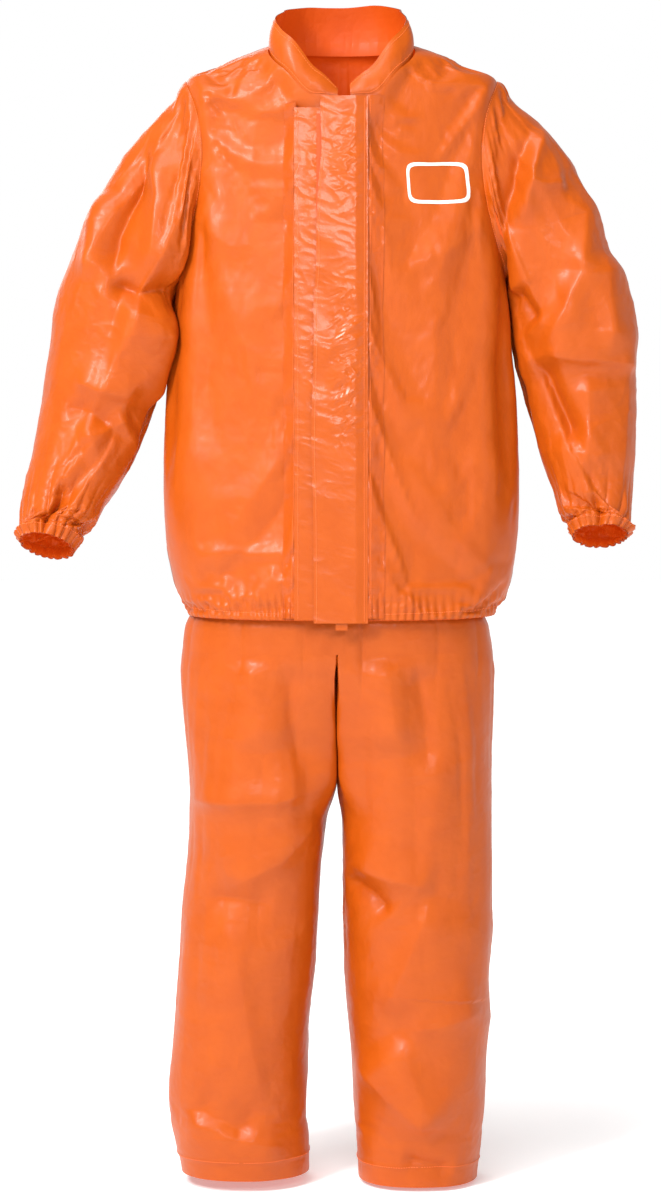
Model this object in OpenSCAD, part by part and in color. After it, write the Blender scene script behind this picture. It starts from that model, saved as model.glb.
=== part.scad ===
// Two-piece chemical protective suit: a zip jacket with a stand-up collar, double storm
// flap and elastic hem and cuffs, and elastic-waist trousers with open ankles.
// Millimetres. +Z is up, -Y is the wearer's front and +X the wearer's left.
// The origin is the middle of the neckline, where the wearer's neck stands.

/* [Fabric] */
// Thickness of one layer of the coated laminate, as a solid shell
fabric = 2; // [1.5:0.1:2.5]
// Width of the heat-sealed tape over a seam
tape_w = 22; // [16:1:26]
// Gap left between two panels at a seam
seam_gap = 0.4; // [0.3:0.1:0.6]
// Gap between a panel and the liner ring inside it, which clears the flat facets of both
liner_gap = 2.6; // [2.4:0.1:3]
// Thickness of the elastic inside a casing
elastic_t = 1.6; // [1:0.1:2]
// Thickness of the facing over an elastic
facing_t = 1; // [0.8:0.1:1.4]

/* [Jacket] */
// Height of the stand-up collar at the back of the neck
collar_h = 56; // [40:1:60]
// Depth of the elastic casings at hem and waist
casing_h = 14; // [10:1:16]
// Width of the blank name panel on the chest
name_panel_w = 84; // [60:1:90]
// Height of the blank name panel on the chest
name_panel_h = 54; // [40:1:60]

/* [Front closure] */
// Side position of the outer flap's seam, on the wearer's left of the zip
outer_seam_x = 33.5; // [32:0.5:36]
// Width of the outer storm flap
outer_flap_w = 68; // [60:1:70]
// Side position of the inner flap's seam, on the wearer's right of the zip
inner_seam_x = -61; // [-64:0.5:-58]
// Width of the inner storm flap
inner_flap_w = 69; // [64:1:70]
// Spacing of the zip's teeth
tooth_pitch = 4; // [3:0.5:6]
// Length of the zip's pull tab
pull_len = 30; // [20:1:34]

/* [Trousers] */
// Depth of the turned-up hem at each ankle
ankle_hem_h = 26; // [18:1:34]
// Depth of the elastic waistband
waistband_h = 34; // [25:1:38]

/* [Hidden] */

orange = [0.95, 0.42, 0.14];
deep_orange = [0.88, 0.33, 0.10];
elastic_white = [0.90, 0.88, 0.84];
print_white = [0.98, 0.93, 0.86];

// The front edge is one straight line, which leans back from the hem to the chest
hem_z = -754;
hem_y = -132;
lean = 3.15;
function front_line(z) = hem_y + (z - hem_z) * tan(lean);

// Jacket body, hem to neck: height, half width, front, back, squareness of the section
body_rows = [
    [hem_z, 202, hem_y, 122, 2.5],
    [-700, 222, front_line(-700), 130, 2.5],
    [-600, 236, front_line(-600), 134, 2.6],
    [-480, 234, front_line(-480), 130, 2.6],
    [-379, 224, front_line(-379), 126, 2.6],
    [-273, 212, front_line(-273), 122, 2.6],
    [-190, 208, front_line(-190), 114, 2.6],
    [-115, 207, front_line(-115), 104, 2.6],
    [ -56, 203,  -93,  92, 2.4],
    [ -34, 160,  -84,  84, 2.2],
    [ -18, 118,  -79,  77, 2.1],
    [  -7,  84,  -75,  71, 2.0],
];
// Distances from the panels' outer face to the faces of the rings inside them
elastic_out = -fabric - liner_gap;
facing_out = elastic_out - elastic_t - 0.4;
cuff_gap = 0.4;      // the cuff's rings share the sleeve's facets, so they lie closer
cuff_facing_out = -fabric - cuff_gap - elastic_t - 0.4;

neck_row = 11;
notch_row = 7.55;    // where the neckline crosses the middle of the front
collar_gap = 2.6;    // between the panels' top edges and the collar
armhole_row = 6.3;   // middle of the armhole
armhole_rows = 1.7;  // half its height, in rows
armhole_turn = 20;   // half its width, in degrees round the body

// Sleeves, armhole to cuff: outer edge x and z, inner edge x and z, middle y,
// half depth, forward lean of the section
sleeve_rows_left = [
    [232,  -50, 218, -318,   0, 66,  0],
    [311, -150, 225, -338,   3, 74,  0],
    [363, -274, 232, -374,   8, 76,  2],
    [397, -385, 242, -424,   8, 73,  6],
    [401, -500, 264, -508,  -6, 64, 14],
    [395, -600, 289, -592, -34, 52, 24],
    [374, -648, 300, -648, -64, 37, 29],
];
sleeve_rows_right = [
    [222,  -52, 218, -318,   0, 66,  0],
    [312, -168, 226, -345,   3, 74,  0],
    [386, -312, 234, -392,   8, 78,  2],
    [400, -400, 250, -450,   8, 73,  6],
    [416, -510, 280, -528,  -6, 64, 14],
    [431, -600, 320, -600, -34, 53, 24],
    [421, -655, 348, -668, -64, 38, 29],
];
elbow_row = 3.1;
cuff_row = 6;

// Each limb turns about a hinge in its middle. The moving panel starts outside a cylinder
// round the hinge, and the fixed one ends inside it.
shoulder_at = [207, 0, -190];
shoulder_r = 141;
elbow_r = 102;
hip_z = -850;
hip_r = 146;
knee_z = -1185;
knee_y = -3;
knee_r = 131;
hinge_gap = 2;
sleeve_start = 4;    // how far the sleeve's first edge stands off the armhole

// Seat, crotch to waist: height, half width, front, back
seat_rows = [
    [-830, 207, -117, 118],
    [-790, 203, -117, 114],
    [-754, 188, -114, 107],
    [-720, 176, -110, 103],
    [-690, 168, -106, 100],
];
waist_z = -690;
seat_squareness = 2.4;
seat_shift = -5;     // the trousers hang a little towards the wearer's right

// Legs, ankle to crotch: height, inner x, outer x, front, back
leg_rows_left = [
    [-1503, 23, 181, -88, 80],
    [-1404, 18, 191, -92, 84],
    [-1315, 12, 195, -95, 88],
    [-1217,  5, 198, -98, 92],
    [-1099,  1, 199, -102, 97],
    [ -987,  0, 196, -108, 104],
    [ -862,  0, 197, -114, 113],
    [ -800,  0, 199, -116, 116],
];
leg_rows_right = [
    [-1494, 43, 213, -88, 80],
    [-1404, 47, 229, -92, 84],
    [-1315, 45, 224, -95, 88],
    [-1217, 33, 215, -98, 92],
    [-1099, 29, 205, -102, 97],
    [ -987, 17, 199, -108, 104],
    [ -862, 10, 206, -114, 113],
    [ -800, 10, 207, -116, 116],
];
leg_squareness = 2.3;
crotch_z = -800;     // where the legs part
gusset_w = 6;
gusset_sag = 26;

// Front closure, in a frame that stands on the hem and leans back with the front edge
zip_len = 664;
zip_edge_x = 16;     // half the opening between the front panels
tooth_x = 0.6;       // half the slit in which the slider's wedge runs
teeth_front = 1.6;   // the teeth lie this far behind the panels' face
teeth_t = 3;
tape_t = 1;
slider_top = 654;    // middle of the slider when the zip is closed
pin_r = 0.8;
pin_fit = 0.08;
pin_out = 1.9;       // the pull's pin stands this far in front of the panels' face
inner_flap_out = 4.6;
inner_flap_t = 1.6;
outer_flap_out = 7.8;
outer_flap_t = 2;
strip_w = 20;
strip_t = 0.6;

// ---------------------------------------------------------------- functions

function mix(a, b, k) = a + (b - a) * k;
function clamp(x, low, high) = min(high, max(low, x));
function ease(k) = let (c = clamp(k, 0, 1)) c * c * (3 - 2 * c);
function unit(v) = v / norm(v);

// Row number v of a table, smoothly between its rows
function row_at(rows, v) =
    let (
        last = len(rows) - 1,
        c = clamp(v, 0, last),
        i = min(last - 1, floor(c)),
        k = c - i,
        p0 = rows[max(0, i - 1)],
        p1 = rows[i],
        p2 = rows[i + 1],
        p3 = rows[min(last, i + 2)]
    )
    0.5 * (2 * p1 + (p2 - p0) * k + (2 * p0 - 5 * p1 + 4 * p2 - p3) * k * k
        + (3 * p1 - p0 - 3 * p2 + p3) * k * k * k);

// Row number at which a table, whose first column climbs, reaches height z
function row_number(rows, z, i = 0) =
    i >= len(rows) - 2 || z <= rows[i + 1][0]
        ? i + clamp((z - rows[i][0]) / (rows[i + 1][0] - rows[i][0]), 0, 1)
        : row_number(rows, z, i + 1);

// A point on a rounded section, u degrees from the front towards +X
function oval(u, half_w, front, back, square) =
    let (
        half_d = (back - front) / 2,
        r = pow(pow(abs(sin(u)) / half_w, square) + pow(abs(cos(u)) / half_d, square), -1 / square)
    )
    [r * sin(u), (front + back) / 2 - r * cos(u)];

function jacket_point(u, v) =
    let (r = row_at(body_rows, v), p = oval(u, r[1], r[2], r[3], r[4]))
    [p.x, p.y, r[0]];

// Row at which the neckline cuts the body, u degrees from the front
function neckline_row(u) = mix(notch_row, neck_row, ease((min(u, 360 - u) - 20) / 65));

// How far round the body a panel reaches before the armhole or the side seam, in degrees
function side_edge(v) =
    let (k = (v - armhole_row) / armhole_rows)
    90 - armhole_turn * sqrt(max(0, 1 - k * k)) - seam_gap / 7;

// Angle at which the jacket's front edge stands x from the middle
function front_angle(v, x) = let (r = row_at(body_rows, v)) atan(x / ((r[3] - r[2]) / 2));

function armhole_point(turn) =
    jacket_point(90 - armhole_turn * sin(turn), armhole_row + armhole_rows * cos(turn));

function sleeve_ring(rows, turn, v) =
    let (
        r = row_at(rows, v),
        outer = [r[0], 0, r[1]],
        inner = [r[2], 0, r[3]],
        forward = [0, -cos(r[6]), sin(r[6])]
    )
    (outer + inner) / 2 + [0, r[4], 0]
        + cos(turn) * (outer - inner) / 2 + sin(turn) * r[5] * forward;

function sleeve_point(rows, turn, v) =
    mix(armhole_point(turn) + [sleeve_start, 0, -0.5], sleeve_ring(rows, turn, v), ease(2 * v));

function seat_point(u, z) =
    let (r = row_at(seat_rows, row_number(seat_rows, z)), p = oval(u, r[1], r[2], r[3], seat_squareness))
    [p.x + seat_shift, p.y, z];

function leg_point(rows, u, z) =
    let (
        r = row_at(rows, row_number(rows, z)),
        p = oval(u, (r[2] - r[1]) / 2, r[3], r[4], leg_squareness)
    )
    [p.x + (r[1] + r[2]) / 2, p.y, z];

// Where a limb's surface, p(v) for rows low to high, leaves a cylinder round a hinge
function leaves(p, at, axis, r, low, high, steps = 14) =
    let (mid = (low + high) / 2)
    steps == 0 ? mid
        : norm(cross(p(mid) - at, axis)) < r ? leaves(p, at, axis, r, mid, high, steps - 1)
        : leaves(p, at, axis, r, low, mid, steps - 1);

// The same for a leg, whose hinge lies across it at height z and depth y
function leg_leaves(rows, u, z, y, r) =
    leaves(function(h) leg_point(rows, u, -h), [0, y, z], [1, 0, 0], r, -z, -z + 1.4 * r);

// Middle of the elbow, and its hinge's direction
function elbow_at(rows) = let (r = row_at(rows, elbow_row)) [(r[0] + r[2]) / 2, r[4], (r[1] + r[3]) / 2];
function elbow_axis(rows) = let (r = row_at(rows, elbow_row)) unit([r[0] - r[2], 0, r[1] - r[3]]);

function shoulder_edge(rows, turn, r) =
    leaves(function(v) sleeve_point(rows, turn, v), shoulder_at, [0, 1, 0], r, 0, 3);
function elbow_edge(rows, turn, r) =
    leaves(function(v) sleeve_point(rows, turn, v), elbow_at(rows), elbow_axis(rows), r, elbow_row, 5);

// Outward normal of a surface f(s, t), whose s runs to the right and t up as seen from outside
function normal_at(f, s, t) =
    let (e = 0.004)
    unit(cross(f(s + e, t) - f(s - e, t), f(s, t + e) - f(s, t - e)));

// ---------------------------------------------------------------- shared shapes

// A closed shell along the surface f(s, t), s and t from 0 to 1, between two distances
// from it, in n by m cells. A ring's s comes back to where it started.
module shell(f, n, m, inside = -fabric, outside = 0, ring = false) {
    columns = ring ? n : n + 1;
    rows = m + 1;
    layer = columns * rows;
    function at(i, j) = (i % columns) * rows + j;
    base = [for (i = [0:columns - 1], j = [0:m])
        let (s = i / n, t = j / m) [f(s, t), normal_at(f, s, t)]];
    points = concat(
        [for (b = base) b[0] + outside * b[1]],
        [for (b = base) b[0] + inside * b[1]]);
    skin = [for (i = [0:n - 1], j = [0:m - 1])
        let (a = at(i, j), b = at(i + 1, j), c = at(i + 1, j + 1), d = at(i, j + 1))
        each [[a, c, b], [a, d, c], [a, b, c] + layer * [1, 1, 1], [a, c, d] + layer * [1, 1, 1]]];
    low_rim = [for (i = [0:n - 1])
        let (a = at(i, 0), b = at(i + 1, 0))
        each [[a, b + layer, a + layer], [a, b, b + layer]]];
    high_rim = [for (i = [0:n - 1])
        let (a = at(i, m), b = at(i + 1, m))
        each [[a, a + layer, b + layer], [a, b + layer, b]]];
    left_rim = [for (j = [0:m - 1])
        let (a = at(0, j), b = at(0, j + 1))
        each [[a, a + layer, b + layer], [a, b + layer, b]]];
    right_rim = [for (j = [0:m - 1])
        let (a = at(n, j), b = at(n, j + 1))
        each [[a, b + layer, a + layer], [a, b, b + layer]]];
    polyhedron(points, concat(skin, low_rim, high_rim, ring ? [] : concat(left_rim, right_rim)));
}

// Places children on the front edge: x across, -y outwards, z up from the hem
module on_front() translate([0, hem_y, hem_z]) rotate([-lean, 0, 0]) children();

// A flat strip on the front edge, from x0 to x1, standing out by d
module front_strip(x0, x1, out, t, z0, z1)
    on_front() translate([x0, -out - t, z0]) cube([x1 - x0, t, z1 - z0]);

// Children on the wearer's left, or mirrored to the right
module on_side(left) mirror([left ? 0 : 1, 0, 0]) children();

// ---------------------------------------------------------------- jacket body

module front_panel(left) color(orange) on_side(left)
    shell(function(s, t)
        let (v = t * neckline_row(mix(8, 90, s)))
        jacket_point(mix(front_angle(v, zip_edge_x), side_edge(v), s), v),
        9, 22);

module back_panel() color(orange)
    shell(function(s, t)
        let (v = t * neck_row)
        jacket_point(180 + (2 * s - 1) * side_edge(v), v),
        16, 22);

// Collar height: it rises from the front notch and is full height from the side to the back
function collar_rise(u) = mix(4, mix(0.72, 1, ease((u - 70) / 80)) * collar_h, sin(min(90, 2.6 * u)));

module collar() color(orange)
    shell(function(s, t)
        let (
            u = mix(4, 356, s),
            from_front = min(u, 360 - u),
            base = jacket_point(u, neckline_row(u)),
            lean_in = 1 - 0.09 * t
        )
        [base.x * lean_in, base.y * lean_in, base.z + collar_gap + t * collar_rise(from_front)],
        36, 4, inside = -fabric - 0.4);

// A blank panel with round corners, on which a name can be written
module name_panel() color(print_white) {
    u0 = 52.5;
    v0 = 6;
    across = norm(jacket_point(u0 + 1, v0) - jacket_point(u0 - 1, v0)) / 2;
    along = norm(jacket_point(u0, v0 + 0.1) - jacket_point(u0, v0 - 0.1)) / 0.2;
    // how far a point of a square is drawn in, so that the square's corners come out round
    draw_in = function(x, y) max(abs(x), abs(y), 0.001) / pow(pow(abs(x), 6) + pow(abs(y), 6) + 1e-12, 1 / 6);
    shell(function(s, t)
        let (x = 2 * s - 1, y = 2 * t - 1, k = draw_in(x, y))
        jacket_point(u0 + k * x * name_panel_w / 2 / across, v0 + k * y * name_panel_h / 2 / along),
        12, 8, inside = 0.3, outside = 0.8);
}

// A ring inside the jacket's hem, open at the zip
module hem_ring(inside, outside)
    shell(function(s, t)
        let (v = t * casing_h / 54, a = front_angle(v, zip_edge_x + 8))
        jacket_point(mix(a, 360 - a, s), v),
        36, 1, inside = inside, outside = outside);
module jacket_hem_elastic() color(elastic_white) hem_ring(elastic_out - elastic_t, elastic_out);
module jacket_hem_facing() color(orange) hem_ring(facing_out - facing_t, facing_out);

module side_seam_tape(left) color(orange) on_side(left)
    shell(function(s, t)
        let (v = mix(0.05, 4.45, t))
        jacket_point(90 + (s - 0.5) * 2.9 * tape_w / 11, v),
        2, 12, inside = 0.3, outside = 0.8);

module shoulder_seam_tape(left) color(orange) on_side(left)
    shell(function(s, t)
        let (v = mix(8.25, 10.9, t), wide = mix(3.5, 8, t))
        jacket_point(90 + (s - 0.5) * 2 * wide * tape_w / 22, v),
        2, 6, inside = 1.1, outside = 1.6);

// ---------------------------------------------------------------- front closure

module outer_flap() color(orange)
    front_strip(outer_seam_x - outer_flap_w, outer_seam_x, outer_flap_out, outer_flap_t, -4, zip_len + 2);

module outer_flap_hook_strip() color(deep_orange)
    front_strip(outer_seam_x - outer_flap_w + 2, outer_seam_x - outer_flap_w + 2 + strip_w,
        outer_flap_out - 0.1 - strip_t, strip_t, 12, zip_len - 14);

// The band that joins the flap to the left panel
module outer_flap_seam_band() color(orange)
    on_front() linear_extrude(zip_len)
        polygon([[34.5, -1], [43, 0.2], [43, -1], [36, -7.4], [34.5, -7.4]]);

module inner_flap() color(orange) {
    front_strip(inner_seam_x, inner_seam_x + inner_flap_w, inner_flap_out, inner_flap_t, 0, zip_len - 6);
    front_strip(-8, inner_seam_x + inner_flap_w, inner_flap_out, inner_flap_t, -13, 0);
}

module inner_flap_loop_strip() color(deep_orange)
    front_strip(outer_seam_x - outer_flap_w + 2, outer_seam_x - outer_flap_w + 2 + strip_w,
        inner_flap_out + inner_flap_t + 0.1, strip_t, 12, zip_len - 14);

module inner_flap_seam_band() color(orange)
    on_front() linear_extrude(zip_len - 6)
        polygon([[-62, -1], [-62, -4.3], [-63.5, -4.3], [-71, -1], [-71, 0.6]]);

module zip_tape(left) color(deep_orange) on_side(left)
    front_strip(4.2, 20.2, -fabric - 0.5 - tape_t, tape_t, 2, zip_len - 4);

// One side of the chain: a cord with a row of teeth, cut as one comb
module zip_teeth(left) color(deep_orange) on_side(left)
    on_front() translate([0, teeth_front + teeth_t, 0]) rotate([90, 0, 0]) linear_extrude(teeth_t) {
        first = 14 + (left ? 0 : tooth_pitch / 2);
        count = floor((zip_len - 32) / tooth_pitch);
        top = first + count * tooth_pitch;
        teeth = [for (k = [0:count - 1])
            let (z = first + k * tooth_pitch)
            each [[2.4, z], [tooth_x, z + 0.4], [tooth_x, z + 2], [2.4, z + 2.4]]];
        polygon(concat([[4, 12], [2.4, 12]], teeth, [[2.4, top], [4, top]]));
    }

module zip_top_stops() color(deep_orange)
    for (side = [-1, 1])
        on_front() translate([side * 2.6 - 1.2, teeth_front, zip_len - 3]) cube([2.4, teeth_t, 4]);

module zip_box() color(deep_orange)
    on_front() difference() {
        translate([-4, 1, 2]) cube([8, 4.4, 9.4]);
        translate([-1, 0, 7]) cube([2, 7, 6]);
    }

// Two plates joined by the wedge that parts the chain, flanges round the teeth,
// and a pin for the pull
module zip_slider() color(deep_orange)
    on_front() translate([0, 0, slider_top]) {
        for (y = [0.2, 5.0])
            translate([-6, y, -6]) cube([12, 1, 12]);
        translate([-0.45, 0.5, 0]) cube([0.9, 5, 5]);
        for (x = [-6, 5], y = [0.5, 4]) translate([x, y, -6]) cube([1, 1.5, 12]);
        for (x = [-3.6, 2.6]) {
            translate([x, -pin_out, 2]) rotate([0, 90, 0]) cylinder(h = 1, r = 1.5, $fn = 48);
            translate([x, -pin_out, 0.5]) cube([1, pin_out + 0.5, 3]);
        }
        translate([-3, -pin_out, 2]) rotate([0, 90, 0]) cylinder(h = 6, r = pin_r, $fn = 48);
    }

// A tab with a bore round the slider's pin, hanging flat
module zip_pull_tab() color(deep_orange)
    on_front() translate([0, -pin_out, slider_top + 2])
        difference() {
            union() {
                translate([-2.3, 0, 0]) rotate([0, 90, 0]) cylinder(h = 4.6, r = 1.6, $fn = 48);
                translate([-2.3, -0.8, -8]) cube([4.6, 1.6, 8]);
                translate([-4.5, -0.8, -pull_len]) cube([9, 1.6, pull_len - 7]);
            }
            translate([-3, 0, 0]) rotate([0, 90, 0]) cylinder(h = 6, r = pin_r + pin_fit, $fn = 48);
            translate([0, 1, -pull_len + 5]) rotate([90, 0, 0]) cylinder(h = 2, r = 1.6, $fn = 48);
        }

// ---------------------------------------------------------------- sleeves

// Part of a sleeve, between two edges that each give a row for a turn round the sleeve
module sleeve_part(left, low, high, m, inside = -fabric, outside = 0, n = 20) on_side(left)
    let (rows = left ? sleeve_rows_left : sleeve_rows_right)
    shell(function(s, t)
        let (turn = 360 * s)
        sleeve_point(rows, turn, mix(low(rows, turn), high(rows, turn), t)),
        n, m, inside = inside, outside = outside, ring = true);

armhole_edge = function(rows, turn) 0;
cuff_edge = function(rows, turn) cuff_row;
elastic_edge = function(rows, turn) cuff_row - 0.28;

module sleeve_head(left) color(orange)
    sleeve_part(left, armhole_edge, function(rows, turn) shoulder_edge(rows, turn, shoulder_r - hinge_gap), 5);
module upper_sleeve(left) color(orange)
    sleeve_part(left, function(rows, turn) shoulder_edge(rows, turn, shoulder_r),
        function(rows, turn) elbow_edge(rows, turn, elbow_r - hinge_gap), 7);
module lower_sleeve(left) color(orange)
    sleeve_part(left, function(rows, turn) elbow_edge(rows, turn, elbow_r), cuff_edge, 6);
module cuff_elastic(left) color(elastic_white)
    sleeve_part(left, elastic_edge, cuff_edge, 1, -fabric - cuff_gap - elastic_t, -fabric - cuff_gap);
module cuff_facing(left) color(orange)
    sleeve_part(left, elastic_edge, cuff_edge, 1, cuff_facing_out - facing_t, cuff_facing_out);

// ---------------------------------------------------------------- trousers

// Part of the seat between two angles, from the crotch up to the waist
module seat_part(u0, u1, n) color(orange)
    shell(function(s, t) seat_point(mix(u0, u1, s), mix(crotch_z, waist_z, t)), n, 5);
module seat_front() seat_part(-90 + 0.1, 90 - 0.1, 14);
module seat_back() seat_part(90 + 0.1, 270 - 0.1, 14);

module waist_ring(inside, outside)
    shell(function(s, t) seat_point(360 * s, mix(waist_z - waistband_h, waist_z, t)),
        32, 1, inside = inside, outside = outside, ring = true);
module waist_elastic() color(elastic_white) waist_ring(elastic_out - elastic_t, elastic_out);
module waist_facing() color(orange) waist_ring(facing_out - facing_t, facing_out);

// The strip that closes the seat between the legs, from front to back
module crotch_gusset() color(orange)
    translate([-gusset_w - 2, 0, 0]) rotate([90, 0, 90]) linear_extrude(gusset_w) {
        steps = 12;
        y0 = -112;
        length = 224;
        sag = function(k) crotch_z - 3 - gusset_sag * sin(180 * k / steps);
        polygon(concat(
            [for (k = [0:steps]) [y0 + length * k / steps, sag(k)]],
            [for (k = [steps:-1:0]) [y0 + length * k / steps, sag(k) - fabric]]));
    }

// Part of a leg between two angles round it and two edges, each of which gives a height
module leg_part(left, u0, u1, low, high, n, m, inside = -fabric, outside = 0, ring = false) on_side(left)
    let (rows = left ? leg_rows_left : leg_rows_right)
    shell(function(s, t)
        let (u = mix(u0, u1, s))
        leg_point(rows, u, mix(low(rows, u), high(rows, u), t)),
        n, m, inside = inside, outside = outside, ring = ring);

hip_low = function(rows, u) -leg_leaves(rows, u, hip_z, 0, hip_r - hinge_gap);
hip_high = function(rows, u) -leg_leaves(rows, u, hip_z, 0, hip_r);
knee_low = function(rows, u) -leg_leaves(rows, u, knee_z, knee_y, knee_r - hinge_gap);
knee_high = function(rows, u) -leg_leaves(rows, u, knee_z, knee_y, knee_r);
ankle_edge = function(rows, u) rows[0][0];
ankle_hem_edge = function(rows, u) rows[0][0] + ankle_hem_h;

module leg_root(left) color(orange)
    leg_part(left, 0, 360, hip_low, function(rows, u) crotch_z - 1, 24, 4, ring = true);
module half_leg(left, front, low, high) color(orange)
    leg_part(left, front ? -89.8 : 90.2, front ? 89.8 : 269.8, low, high, 10, 7);
module thigh(left, front) half_leg(left, front, knee_low, hip_high);
module shin(left, front) half_leg(left, front, ankle_edge, knee_high);
module ankle_hem(left) color(orange)
    leg_part(left, 0, 360, ankle_edge, ankle_hem_edge, 24, 1, elastic_out - facing_t, elastic_out, ring = true);

// ---------------------------------------------------------------- nodes

front_panel(false);  // front_panel_right
front_panel(true);  // front_panel_left
back_panel();
collar();
name_panel();
jacket_hem_elastic();
jacket_hem_facing();
side_seam_tape(false);  // side_seam_tape_right
side_seam_tape(true);  // side_seam_tape_left
shoulder_seam_tape(false);  // shoulder_seam_tape_right
shoulder_seam_tape(true);  // shoulder_seam_tape_left
outer_flap();
outer_flap_hook_strip();
outer_flap_seam_band();
inner_flap();
inner_flap_loop_strip();
inner_flap_seam_band();
zip_tape(false);  // zip_tape_right
zip_tape(true);  // zip_tape_left
zip_teeth(false);  // zip_teeth_right
zip_teeth(true);  // zip_teeth_left
zip_top_stops();
zip_box();
zip_slider();
zip_pull_tab();
sleeve_head(false);  // sleeve_head_right
sleeve_head(true);  // sleeve_head_left
upper_sleeve(false);  // upper_sleeve_right
upper_sleeve(true);  // upper_sleeve_left
lower_sleeve(false);  // lower_sleeve_right
lower_sleeve(true);  // lower_sleeve_left
cuff_elastic(false);  // cuff_elastic_right
cuff_elastic(true);  // cuff_elastic_left
cuff_facing(false);  // cuff_facing_right
cuff_facing(true);  // cuff_facing_left
seat_front();
seat_back();
waist_elastic();
waist_facing();
crotch_gusset();
leg_root(false);  // leg_root_right
leg_root(true);  // leg_root_left
thigh(false, true);  // thigh_front_right
thigh(false, false);  // thigh_back_right
thigh(true, true);  // thigh_front_left
thigh(true, false);  // thigh_back_left
shin(false, true);  // shin_front_right
shin(false, false);  // shin_back_right
shin(true, true);  // shin_front_left
shin(true, false);  // shin_back_left
ankle_hem(false);  // ankle_hem_right
ankle_hem(true);  // ankle_hem_left
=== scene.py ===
import math

import bpy
import numpy as np
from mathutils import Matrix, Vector


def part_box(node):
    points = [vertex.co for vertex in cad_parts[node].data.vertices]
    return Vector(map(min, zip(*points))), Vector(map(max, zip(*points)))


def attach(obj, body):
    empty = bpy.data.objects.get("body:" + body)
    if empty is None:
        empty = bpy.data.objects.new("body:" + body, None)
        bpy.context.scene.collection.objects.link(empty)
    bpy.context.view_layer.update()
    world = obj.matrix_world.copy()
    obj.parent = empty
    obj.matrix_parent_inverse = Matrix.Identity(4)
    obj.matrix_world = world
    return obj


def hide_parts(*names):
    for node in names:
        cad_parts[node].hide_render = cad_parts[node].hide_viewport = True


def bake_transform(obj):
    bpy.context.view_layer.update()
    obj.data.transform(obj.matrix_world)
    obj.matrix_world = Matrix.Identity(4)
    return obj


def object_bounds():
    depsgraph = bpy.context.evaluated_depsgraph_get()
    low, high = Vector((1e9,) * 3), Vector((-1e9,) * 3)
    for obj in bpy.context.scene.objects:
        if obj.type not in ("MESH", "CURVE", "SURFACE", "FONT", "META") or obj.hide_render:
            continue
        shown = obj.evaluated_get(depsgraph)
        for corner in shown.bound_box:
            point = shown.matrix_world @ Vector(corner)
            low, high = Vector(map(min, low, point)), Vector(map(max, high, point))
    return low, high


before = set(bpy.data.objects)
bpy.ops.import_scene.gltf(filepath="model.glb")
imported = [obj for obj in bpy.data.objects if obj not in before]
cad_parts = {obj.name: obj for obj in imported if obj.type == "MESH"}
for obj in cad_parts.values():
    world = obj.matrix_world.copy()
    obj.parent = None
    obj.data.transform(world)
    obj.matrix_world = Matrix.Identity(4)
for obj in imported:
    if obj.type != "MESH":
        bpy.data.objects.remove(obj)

cad_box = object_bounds()

# Chemical protective suit: a jacket and separate trousers in a glossy orange laminate.
# Metres. +Z is up, -Y is the wearer's front and +X the wearer's left.
# Each garment surface follows the sections of its CAD panels, and is folded and crinkled
# as the film would be. A surface is a grid of points: first index round, second index up.


# ---------------- numbers and curves

def smooth(x, low=0.0, high=1.0):
    k = np.clip((np.asarray(x, float) - low) / (high - low), 0, 1)
    return k * k * (3 - 2 * k)


def mix(a, b, k):
    return a + (b - a) * k


def row_at(rows, v):
    """Rows of a table at the numbers v, smoothly between its rows."""
    rows = np.asarray(rows, float)
    last = len(rows) - 1
    v = np.clip(np.asarray(v, float), 0, last)
    i = np.minimum(np.floor(v).astype(int), last - 1)
    k = (v - i)[..., None]
    p0, p1, p2, p3 = (rows[np.clip(i + j, 0, last)] for j in (-1, 0, 1, 2))
    return 0.5 * (2 * p1 + (p2 - p0) * k + (2 * p0 - 5 * p1 + 4 * p2 - p3) * k**2
                  + (3 * p1 - p0 - 3 * p2 + p3) * k**3)


def row_number(rows, z):
    """The row number at which a table, whose first column climbs, reaches height z."""
    return np.interp(z, [r[0] for r in rows], range(len(rows)))


def oval(u, half_w, front, back, square):
    """A rounded section, u degrees from the front towards +X."""
    a = np.radians(u)
    half_d = (back - front) / 2
    r = ((np.abs(np.sin(a)) / half_w) ** square + (np.abs(np.cos(a)) / half_d) ** square) ** (-1 / square)
    return r * np.sin(a), (front + back) / 2 - r * np.cos(a)


def normals_of(p):
    """Outward normals of a grid of points."""
    n = np.cross(np.gradient(p, axis=0), np.gradient(p, axis=1))
    return n / np.maximum(np.linalg.norm(n, axis=-1, keepdims=True), 1e-12)


def hashed(ix, iy, iz, seed):
    h = (ix * 374761393 + iy * 668265263 + iz * 2147483647 + seed * 974634777) & 0xFFFFFFFF
    h = ((h ^ (h >> 13)) * 1274126177) & 0xFFFFFFFF
    return ((h ^ (h >> 16)) & 0xFFFF) / 32767.5 - 1


def noise(p, size, seed=0):
    """Smooth noise from -1 to 1 at the points p, with lumps of about that size."""
    q = p / np.asarray(size, float)
    base = np.floor(q).astype(np.int64)
    f = q - base
    f = f * f * (3 - 2 * f)
    out = 0
    for c in range(8):
        d = np.array([c & 1, c >> 1 & 1, c >> 2 & 1])
        w = np.prod(np.where(d, f, 1 - f), axis=-1)
        i = base + d
        out = out + w * hashed(i[..., 0], i[..., 1], i[..., 2], seed)
    return out


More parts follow.
